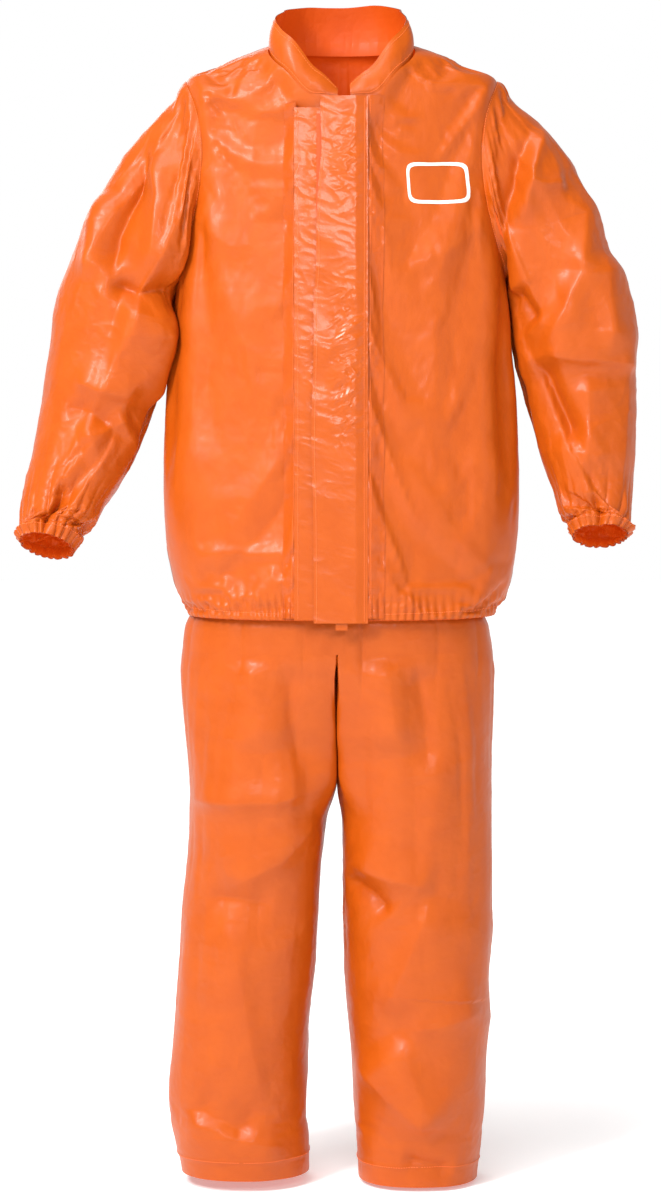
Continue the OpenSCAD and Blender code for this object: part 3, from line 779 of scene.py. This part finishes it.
def flap_piece(name, low, high, out, z0, z1, seed, height, free_side, material, thick=FABRIC, sway=0.0):
    """A flap between x low and high. Its free edge sways towards its seam at the top."""
    def coords(s, t):
        z = mix(z0, z1, t)
        drawn = sway * (smooth(z, .40, .66) - 0.4 * bump(z, .25, .30))
        return mix(low + drawn, high, s), z
    surface = Surface(lambda x, z: front_point(x, out, z), coords, 90, 560,
                      relief=crinkled_flap(seed, height, free_side, low, high))
    return surface, fabric(name, surface, material, thick=thick)


flap, o = flap_piece("storm_flap_outer", SEAM_X - FLAP_W, SEAM_X, .0094, -.004, ZIP_LEN + .009, 5, .0016, -1,
                     flap_film, thick=.0009, sway=.008)
place(o, "flap_shell", "outer_flap", "outer_flap")
for k, column in enumerate((5, 84)):
    stitches(f"outer_flap_stitch_{k}", flap, column, "outer_flap")

inner, o = flap_piece("storm_flap_inner", -.061, .008, .0062, 0, ZIP_LEN - .006, 17, .0008, 1, flap_film)
place(o, "flap_shell", "inner_flap", "inner_flap")
stitches("inner_flap_stitch", inner, 6, "inner_flap")

tab = Surface(lambda x, z: front_point(x, .0060, z), patch(-.008, .008, -.013, .002), 20, 20,
              relief=crinkled_flap(31, .0005, 1, -.008, .008))
sew("inner_flap_tab", tab, (flap_film,), "hung", "flap_shell", "inner_flap", [])


def band_surface(x_flap, x_panel, out, z1):
    """A band from a flap's seam, where it stands out from the panel, down onto the panel."""
    def coords(s, t):
        z = HEM_Z + mix(.004, z1, t) * math.cos(LEAN)
        v = row_number(BODY, z)
        k = s if x_panel > x_flap else 1 - s
        return front_angle(v, mix(x_flap, x_panel, k)) % 360, v

    def relief(p, n, u, v):
        reach = np.clip((p[..., 0] - x_flap) / (x_panel - x_flap), -.1, 1.1)
        lift = .0007 + out * smooth(1 - reach) + .0004 * crumple(p, .022, 51, 2) * smooth(reach, 0, .3)
        return torso_relief(p, n, u, v) + n * lift[..., None]

    return Surface(jacket_point, coords, 24, 420, relief=relief)


# the bands that join the flaps to the panels, each with one row of topstitching
for name, x_flap, x_panel, out, z1, replaced in (
        ("outer_flap_band", .0338, .0560, .0050, ZIP_LEN + .007, "outer_flap_seam_band"),
        ("inner_flap_band", -.0613, -.0800, .0052, ZIP_LEN, "inner_flap_seam_band")):
    band = band_surface(x_flap, x_panel, out, z1)
    sew(name, band, (tape_film, lining), "stretched", "seam_tape", "jacket", [replaced],
        rests_on=["front_left", "front_right"], thick=0.0004)
    stitches(f"{name}_stitch", band, 4 if x_panel > x_flap else 19, "jacket")

# hook and loop strips: a pile of short bristles on a woven band
for name, out, body in (("hook_strip", .0074, "outer_flap"), ("loop_strip", .0066, "inner_flap")):
    strip = Surface(lambda x, z, d=out: front_point(x, d, z),
                    patch(-.0325, -.0125, .012, .650), 28, 800,
                    relief=lambda p, n, x, z: n * (.00012 * noise(p, .0012, 61))[..., None])
    sew(f"{name}_pile", strip, (webbing,), "laid", "fastener_strip", body, [f"{body}_{name}"], thick=.0003)

for name, node_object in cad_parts.items():
    if name.startswith("zip_"):
        node_object.data.materials.clear()
        node_object.data.materials.append(webbing if "tape" in name else zip_plastic)

# a blank panel with round corners, printed on the chest
NAME_U, NAME_V, NAME_W, NAME_H, LINE = 52.5, 6, .084, .054, .0044


def chest_scale():
    """Metres to a degree and to a row, at the panel's middle."""
    a = [jacket_point(np.array(NAME_U + d), np.array(NAME_V + e))
         for d, e in ((1, 0), (-1, 0), (0, .1), (0, -.1))]
    return np.linalg.norm(a[0] - a[1]) / 2, np.linalg.norm(a[2] - a[3]) / 0.2


DEGREE_M, ROW_M = chest_scale()


def name_coords(s, t):
    """Round the panel's outline by s, and from its inner to its outer line by t."""
    a = 2 * math.pi * s
    draw_in = (np.abs(np.cos(a)) ** 6 + np.abs(np.sin(a)) ** 6) ** (-1 / 6)
    x = (NAME_W / 2 - (1 - t) * LINE) * draw_in * np.cos(a)
    y = (NAME_H / 2 - (1 - t) * LINE) * draw_in * np.sin(a)
    return NAME_U + x / DEGREE_M, NAME_V + y / ROW_M


printed = on_torso(flipped(name_coords), 260, 6)
o = fabric("name_panel_print", printed.moved(.0004), ink, ring=True, thick=0.0002)
place(o, "print", "jacket", "name_panel")


# ---------------- sleeves

SLEEVE_FOLDS = {
    "right": [
        (.0080, .030, .010, [(-.263, -.128), (-.252, -.199), (-.262, -.270), (-.276, -.310)]),
        (-.0090, .012, .014, [(-.268, -.115), (-.278, -.190), (-.305, -.250), (-.314, -.318)]),
        (-.0085, .012, .012, [(-.320, -.312), (-.267, -.330), (-.214, -.318)]),
        (.0065, .010, .034, [(-.306, -.342), (-.262, -.356), (-.226, -.350)]),
        (.0070, .012, .030, [(-.254, -.348), (-.249, -.400), (-.264, -.476)]),
        (.0060, .026, .012, [(-.318, -.185), (-.334, -.240), (-.346, -.315)]),
        (.0050, .020, .012, [(-.366, -.436), (-.325, -.452), (-.276, -.462)]),
        (-.0055, .014, .014, [(-.376, -.468), (-.330, -.482), (-.288, -.520)]),
        (.0060, .012, .026, [(-.356, -.516), (-.316, -.502), (-.284, -.484)]),
        (-.0070, .008, .008, [(-.370, -.560), (-.380, -.600), (-.387, -.644)])],
    "left": [
        (-.0080, .010, .012, [(.264, -.096), (.240, -.160), (.222, -.230), (.212, -.350)]),
        (.0070, .012, .026, [(.278, -.100), (.256, -.165), (.246, -.245)]),
        (.0055, .014, .010, [(.242, -.182), (.268, -.188), (.304, -.184)]),
        (.0085, .040, .013, [(.288, -.180), (.322, -.225), (.318, -.300), (.280, -.406)]),
        (.0060, .030, .013, [(.340, -.270), (.352, -.340), (.357, -.414)]),
        (.0075, .036, .010, [(.268, -.402), (.330, -.412), (.406, -.420)]),
        (-.0090, .016, .018, [(.266, -.406), (.290, -.460), (.318, -.525)]),
        (.0070, .034, .013, [(.333, -.420), (.335, -.490), (.333, -.566)]),
        (-.0070, .012, .012, [(.232, -.320), (.250, -.345), (.270, -.366)]),
        (-.0060, .008, .008, [(.338, -.580), (.336, -.612), (.328, -.645)])]}
SLEEVE_BACK_FOLDS = [
    (.0080, .012, .018, [(.250, -.110), (.290, -.200), (.300, -.290)]),
    (-.0080, .012, .012, [(.262, -.290), (.310, -.322), (.370, -.330)]),
    (.0080, .014, .010, [(.262, -.350), (.320, -.376), (.384, -.380)]),
    (.0070, .010, .014, [(.276, -.420), (.320, -.446), (.384, -.470)]),
    (-.0070, .010, .010, [(.300, -.500), (.340, -.520), (.392, -.510)]),
    (.0060, .010, .012, [(.300, -.560), (.340, -.570), (.390, -.560)])]


class Tube:
    """A sleeve or a leg: a ring of surface from low to high, which can be cut anywhere."""
    coarse = (72, 110)

    def __init__(self, side, low, high, front_folds, back_folds, hold, grow, stiff):
        self.side, self.way, self.low = side, sign(side), low
        self.front_folds = front_folds[side]
        self.back_folds = back_folds if side == "left" else [
            (h, b, a, [(-x, z) for x, z in path]) for h, a, b, path in back_folds]
        rough = Surface(self.at, self.coords(low, high), *self.coarse, relief=barely_creased)
        self.slack = slack(f"{self.kind}_slack_{side}", rough, hold(rough.b), grow, stiff)

    def coords(self, low, high):
        return patch(0, 360 * (self.way if self.mirrored else 1), low, high)

    def listed(self, p, n):
        lift = folds(p, n, self.front_folds) + folds(p, n, self.back_folds, 1)
        return self.fold_height * lift

    def surface(self, low, high, nv):
        return Surface(self.at, self.coords(low, high), self.columns, nv, relief=self.relief)


class Sleeve(Tube):
    kind, columns, mirrored = "sleeve", 260, True
    fold_height, crease = 2.2, .0046

    def __init__(self, side):
        super().__init__(side, 0, CUFF_ROW, SLEEVE_FOLDS, SLEEVE_BACK_FOLDS, self.hold, 0.026, 0.35)

    def hold(self, v):
        return np.maximum.reduce([np.full(v.shape, 0.050), smooth(1 - v / 0.25), smooth((v - 5.5) / 0.4)])

    def at(self, turn, v):
        return sleeve_point(self.side, turn, v)

    def relief(self, p, n, turn, v):
        seed = 100 if self.side == "left" else 200
        move = n * (self.listed(p, n) * smooth(v, 0, 0.35))[..., None]
        body = smooth(v, 0, 0.3) * smooth(6 - v, 0, 0.8)
        lift = body * creased(p, seed, self.crease) + FINE * crumple(p, .012, seed + 3, 2)
        lift += 0.0056 * smooth(v, 4.3, 5.70) * pleats(p, turn, 20, seed + 20)
        lift += 0.0050 * smooth(v, 4.9, 5.60) * smooth(5.95 - v, 0, 0.35)
        settled = (smooth(v, 0.05, 0.5) * smooth(6 - v, 0, 0.5))[..., None]
        return (move + n * lift[..., None]
                + settled * cubic(self.slack, (turn * self.way % 360) / 360, v / CUFF_ROW))


ELBOW_SPLIT = 2.45    # the seam between a sleeve's two halves, clear of both its bends
for side in ("left", "right"):
    sleeve = Sleeve(side)
    k = sign(side)
    upper = sleeve.surface(0, ELBOW_SPLIT, 230)
    o = fabric(f"sleeve_upper_{side}", upper, film, lining, ring=True)
    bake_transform(o)
    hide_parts(f"sleeve_head_{side}", f"upper_sleeve_{side}")

    lower = sleeve.surface(ELBOW_SPLIT, CUFF_ROW, 300)
    elbow = row_at(SLEEVES[side], np.array(3.1))
    centre = np.array([(elbow[0] + elbow[2]) / 2 * k, elbow[4], (elbow[1] + elbow[3]) / 2])
    wrist = row_at(SLEEVES[side], np.array(4.2))
    down = np.array([(wrist[0] + wrist[2]) / 2 * k, 0, (wrist[1] + wrist[3]) / 2]) - centre * (1, 0, 1)
    down /= np.linalg.norm(down)
    o = fabric(f"sleeve_lower_{side}", lower, film, lining, ring=True)
    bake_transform(o)
    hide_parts(f"lower_sleeve_{side}")

    seam = sleeve.surface(0, 0.12, 6)
    stitches(f"armhole_stitch_{side}", seam, np.s_[:, 5], "jacket")
    cuff = sleeve.surface(CUFF_ROW - 0.28, CUFF_ROW, 8)
    stitches(f"cuff_stitch_{side}", cuff, np.s_[:, 0], f"forearm_{side}")
    turned = cuff.moved(-.0038)
    turned.points[:, -1] = cuff.points[:, -1] - cuff.normals[:, -1] * .0020
    sew(f"cuff_facing_{side}_fold", turned, (lining,), "gathered", "shell", f"forearm_{side}",
        [f"cuff_facing_{side}"], cut=cuff, rests_on=[f"sleeve_lower_{side}"], ring=True)
    elastic = sleeve.surface(CUFF_ROW - 0.26, CUFF_ROW - 0.06, 8)
    sew(f"cuff_elastic_{side}_band", elastic.moved(-.0012), (elastic_knit,), "gathered", "elastic",
        f"forearm_{side}", [f"cuff_elastic_{side}"], cut=elastic, ring=True, thick=.0014)


# ---------------- trousers

LEG_FOLDS = {
    "right": [
        (.0060, .034, .010, [(-.205, -.990), (-.150, -.993), (-.087, -.989), (-.030, -.974)]),
        (.0055, .034, .014, [(-.158, -1.108), (-.086, -1.069), (-.030, -1.010)]),
        (-.0045, .012, .016, [(-.180, -1.116), (-.130, -1.118), (-.086, -1.126)]),
        (.0065, .018, .046, [(-.154, -1.116), (-.134, -1.230), (-.116, -1.340), (-.098, -1.441)]),
        (.0060, .016, .034, [(-.217, -1.405), (-.158, -1.431), (-.102, -1.446), (-.063, -1.455)]),
        (-.0050, .034, .012, [(-.200, -1.392), (-.150, -1.414), (-.112, -1.434)]),
        (.0050, .024, .018, [(-.120, -.790), (-.112, -.850), (-.096, -.930)]),
        (-.0045, .016, .014, [(-.072, -.800), (-.066, -.870), (-.050, -.960)])],
    "left": [
        (.0060, .020, .034, [(.050, -.780), (.062, -.860), (.074, -.935)]),
        (-.0050, .018, .016, [(.096, -.800), (.112, -.880), (.116, -.960)]),
        (.0060, .034, .012, [(.006, -1.072), (.060, -1.090), (.128, -1.106)]),
        (-.0075, .012, .012, [(.002, -1.094), (.040, -1.114), (.066, -1.140)]),
        (.0060, .046, .014, [(.122, -1.108), (.096, -1.180), (.070, -1.245), (.078, -1.290)]),
        (.0050, .032, .014, [(.074, -1.290), (.130, -1.284), (.190, -1.264)]),
        (.0070, .044, .014, [(.016, -1.332), (.070, -1.384), (.128, -1.440)]),
        (.0050, .016, .034, [(.074, -1.292), (.098, -1.370), (.127, -1.441)]),
        (-.0050, .008, .012, [(.076, -1.462), (.112, -1.472), (.150, -1.480)])]}
LEG_BACK_FOLDS = [
    (.0070, .014, .022, [(.020, -.850), (.080, -.880), (.170, -.860)]),
    (.0080, .014, .014, [(.020, -1.130), (.090, -1.150), (.170, -1.130)]),
    (-.0080, .014, .014, [(.020, -1.160), (.100, -1.180), (.180, -1.165)]),
    (.0070, .014, .016, [(.030, -1.205), (.100, -1.215), (.180, -1.190)]),
    (.0060, .016, .024, [(.040, -1.290), (.090, -1.350), (.150, -1.400)]),
    (-.0060, .012, .018, [(.160, -1.400), (.100, -1.440), (.050, -1.455)])]
MEET_X = -.006    # where the thighs rest against each other


def leg_point(side, u, z):
    rows = LEGS[side]
    r = row_at(rows, row_number(rows, z))
    inner = mix(r[..., 1], MEET_X * sign(side), smooth(z, -1.03, -.965))
    x, y = oval(u * sign(side), (r[..., 2] - inner) / 2, r[..., 3], r[..., 4], 2.3)
    return np.stack([sign(side) * (x + (inner + r[..., 2]) / 2), y, z + 0 * x], -1)


def waist_folds(p):
    """The gathers of the waist's elastic, which open out down the thighs."""
    turn = np.degrees(np.arctan2(p[..., 0] - SEAT_SHIFT, -p[..., 1]))
    aside = smooth(np.abs(p[..., 0] - MEET_X), .004, .030)
    return .0042 * aside * smooth(p[..., 2], -.905, -.775) * (pleats(p * (1, 1, .3), turn, 16, 77) + .3)


def seat_point(u, z):
    r = row_at(SEAT, row_number(SEAT, z))
    x, y = oval(u, r[..., 1], r[..., 2], r[..., 3], 2.4)
    return np.stack([x + SEAT_SHIFT, y, z + 0 * x], -1)


INNER_TURN, MORPH_Z = 34, -.955


def crotch_section(side, u, z):
    """Half of the seat's section, as the top of one leg: round the outside with the seat, and
    straight back to the front beside the gusset."""
    turn = (u * sign(side) + 90) % 360
    outer = 360 - 2 * INNER_TURN
    k = np.clip((turn - INNER_TURN) / outer, 0, 1)
    around = seat_point(180 * k * sign(side), z)
    front, rear = seat_point(np.zeros_like(k), z), seat_point(np.full_like(k, 180.0), z)
    back_half = turn > INNER_TURN + outer
    step = np.where(back_half, (turn - INNER_TURN - outer) / (2 * INNER_TURN),
                    (turn + INNER_TURN) / (2 * INNER_TURN))
    inner = mix(rear, front, np.clip(step, 0, 1)[..., None])
    inside = back_half | (turn < INNER_TURN)
    p = np.where(inside[..., None], inner, around)
    gap = sign(side) * .0006 - .001
    p[..., 0] += gap * smooth(1 - np.abs(p[..., 0] - SEAT_SHIFT) / .02)
    return p


class Leg(Tube):
    kind, columns, mirrored = "leg", 300, False    # leg_point mirrors its own angle
    fold_height, crease = 1.8, .0024

    def __init__(self, side):
        super().__init__(side, LEGS[side][0][0], CROTCH_Z, LEG_FOLDS, LEG_BACK_FOLDS, self.hold, 0.012, 0.6)

    def hold(self, z):
        return np.maximum.reduce([np.full(z.shape, 0.060), smooth(1 - (z - self.low) / .09),
                                  smooth(1 - (CROTCH_Z - z) / .03)])

    def at(self, u, z):
        join = smooth(z, MORPH_Z, CROTCH_Z)[..., None]
        return mix(leg_point(self.side, u, z), crotch_section(self.side, u, z), join)

    def relief(self, p, n, u, z):
        seed = 300 if self.side == "left" else 400
        free = smooth(CROTCH_Z - z, 0, .03)
        hem = smooth(z - self.low, 0, .04)
        lift = (free * mix(0.25, 1.0, hem) * creased(p, seed, self.crease)
                + FINE * crumple(p, .012, seed + 5, 2))
        lift += .0008 * np.exp(-((z - self.low - .026) / .003) ** 2)
        lift += waist_folds(p)
        move = n * (self.listed(p, n) * free)[..., None] + n * lift[..., None]
        part = (z - self.low) / (CROTCH_Z - self.low)
        settled = free * mix(0.10, 0.4, smooth(z - self.low, .04, .30))
        move = move + settled[..., None] * cubic(self.slack, (u / 360) % 1, part)
        return self.pressed(p + move, z) - p

    def pressed(self, q, z):
        """The inner thighs pressed together: near the plane between the legs, each lies
        against one gently waved surface."""
        middle = MEET_X + .0015 * np.sin(q[..., 1] / .012) * smooth(CROTCH_Z - z, 0, .03)
        aside = q[..., 0] - middle
        near = smooth(1.5 * (1 - np.abs(aside) / .040)) * smooth(z, -1.020, -.955)
        near = near * smooth(CROTCH_Z - z, 0, .02) * smooth(q[..., 1], -.116, -.082)
        q[..., 0] = mix(q[..., 0], middle + self.way * .0005, near)
        return q


SPLIT_Z = -1.010    # the seam between a leg's two halves
for side in ("left", "right"):
    leg = Leg(side)
    thigh = leg.surface(SPLIT_Z, CROTCH_Z, 120)
    o = fabric(f"trouser_thigh_{side}", thigh, film, lining, ring=True)
    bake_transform(o)
    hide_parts(f"leg_root_{side}", f"thigh_front_{side}", f"thigh_back_{side}")

    shin = leg.surface(leg.low, SPLIT_Z, 290)
    o = fabric(f"trouser_shin_{side}", shin, film, lining, ring=True)
    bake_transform(o)
    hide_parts(f"shin_front_{side}", f"shin_back_{side}")

    hem = leg.surface(leg.low, leg.low + .026, 10)
    stitches(f"ankle_stitch_{side}", hem, np.s_[:, -1], f"shin_{side}")
    turned = hem.moved(-.0014)
    turned.points[:, 0] = hem.points[:, 0] - hem.normals[:, 0] * .0007 - np.array([0, 0, .0004])
    sew(f"ankle_facing_{side}", turned, (lining,), "hung", "shell", f"shin_{side}", [f"ankle_hem_{side}"],
        cut=hem, rests_on=[f"trouser_shin_{side}"], ring=True)


def seat_relief(p, n, u, z):
    lift = smooth(z, CROTCH_Z, CROTCH_Z + .02) * smooth(WAIST_Z - z, 0, .03) * creased(p, 500, .0012, .0002)
    lift += waist_folds(p) * smooth(WAIST_Z - z, .04, .08)
    lift += 0.0030 * smooth(z, WAIST_Z - .07, WAIST_Z - .03) * pleats(p, u, 90, 501)
    return n * lift[..., None]


for name, first in (("front", -90), ("back", 90)):
    seat = Surface(seat_point, patch(first, first + 180, CROTCH_Z, WAIST_Z), 200, 70, relief=seat_relief)
    sew(f"trouser_seat_{name}", seat, (film, lining), "gathered", "shell", "trousers", [f"seat_{name}"])
    stitches(f"waist_stitch_{name}", seat, np.s_[:, 48], "trousers")

waist = Surface(seat_point, patch(0, 360, WAIST_Z - .034, WAIST_Z), 400, 14, relief=seat_relief)
turned = waist.moved(-.0046)
turned.points[:, -1] = waist.points[:, -1] - waist.normals[:, -1] * .0022
sew("waist_facing_fold", turned, (lining,), "gathered", "shell", "trousers", ["waist_facing"], cut=waist,
    ring=True)
sew("waist_elastic_band", waist.moved(-.0016), (elastic_knit,), "gathered", "elastic", "trousers",
    ["waist_elastic"], cut=waist, ring=True, thick=.0016)


def gusset_at(x, k):
    low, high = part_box("crotch_gusset")
    y = mix(low[1], high[1], k)
    return np.stack([x, y, high[2] - (high[2] - low[2] - .002) * np.sin(np.pi * np.clip(k, 0, 1))], -1)


gusset = Surface(gusset_at, patch(-.008, -.002, 0, 1), 8, 120,
                 relief=lambda p, n, x, k: n * (.0004 * crumple(p, .02, 7, 2))[..., None])
o = fabric("crotch_strip", gusset, film, lining)
place(o, "shell", "trousers", "crotch_gusset")


# ---------------- studio

FLOOR_Z, FLOOR_SIZE = cad_box[0][2] - .006, 14
# the floor gives back a little light of its own, so that it stays white
floor_white = material("floor_white", Base_Color=(0.9, 0.9, 0.9, 1), Roughness=0.9,
                       Emission_Color=(1, 1, 1, 1), Emission_Strength=0.30)[0]
corners = [(x * FLOOR_SIZE, y * FLOOR_SIZE, FLOOR_Z) for x, y in ((-1, -1), (1, -1), (1, 1), (-1, 1))]
floor = mesh_object("floor", corners, [(0, 1, 2, 3)], [floor_white])


def light(name, kind, toward, power, at=(0, 0, 0), **settings):
    data = bpy.data.lights.new(name, kind)
    data.energy = power
    for key, value in settings.items():
        setattr(data, key, value)
    o = bpy.data.objects.new(name, data)
    o.location = at
    o.rotation_euler = Vector(toward).to_track_quat("-Z", "Y").to_euler()
    bpy.context.scene.collection.objects.link(o)


def area_light(name, at, target, width, height, power):
    light(name, "AREA", Vector(target) - Vector(at), power, at, shape="RECTANGLE", size=width, size_y=height)


middle = (0, 0, -.70)
light("overhead", "SUN", (.25, .35, -1.0), 2.0, angle=math.radians(30))
area_light("key", (-1.9, -2.6, 1.5), (0, 0, -.5), 0.8, 1.2, 128)
area_light("front", (.35, -4.2, .75), (0, 0, -.6), 1.3, 0.6, 42)
area_light("fill", (2.6, -2.4, .2), middle, 1.2, 2.0, 10)
area_light("back", (-1.2, 2.6, .8), middle, 1.6, 1.6, 26)

WHITE, DIM = (1, 1, 1), (.42, .42, .42)

# a white studio, brightest at the height of the eye and towards the backdrop
world = bpy.data.worlds.new("studio")
bpy.context.scene.world = world
world.use_nodes = True
tree = world.node_tree
direction = node(tree, "ShaderNodeSeparateXYZ", Vector=node(tree, "ShaderNodeTexCoord").outputs["Generated"])
setting(tree.nodes["Background"], Color=ramp(tree, direction.outputs["Z"], WHITE, DIM, (0.12, 0.5)),
        Strength=ramp(tree, direction.outputs["Y"], DIM, WHITE, (0.0, 0.4)))
bpy.context.scene.view_settings.view_transform = "Standard"
bpy.context.scene.view_settings.look = "None"

camera_data = bpy.data.cameras.new("camera")
camera_data.sensor_fit = "VERTICAL"
camera_data.sensor_height = 36
camera_data.lens = 104.5
camera = bpy.data.objects.new("camera", camera_data)
camera.location = (-.0145, -4.6, -.45)
camera.rotation_euler = (Vector((-.0145, 0, -.736)) - camera.location).to_track_quat("-Z", "Y").to_euler()
bpy.context.scene.collection.objects.link(camera)
bpy.context.scene.camera = camera
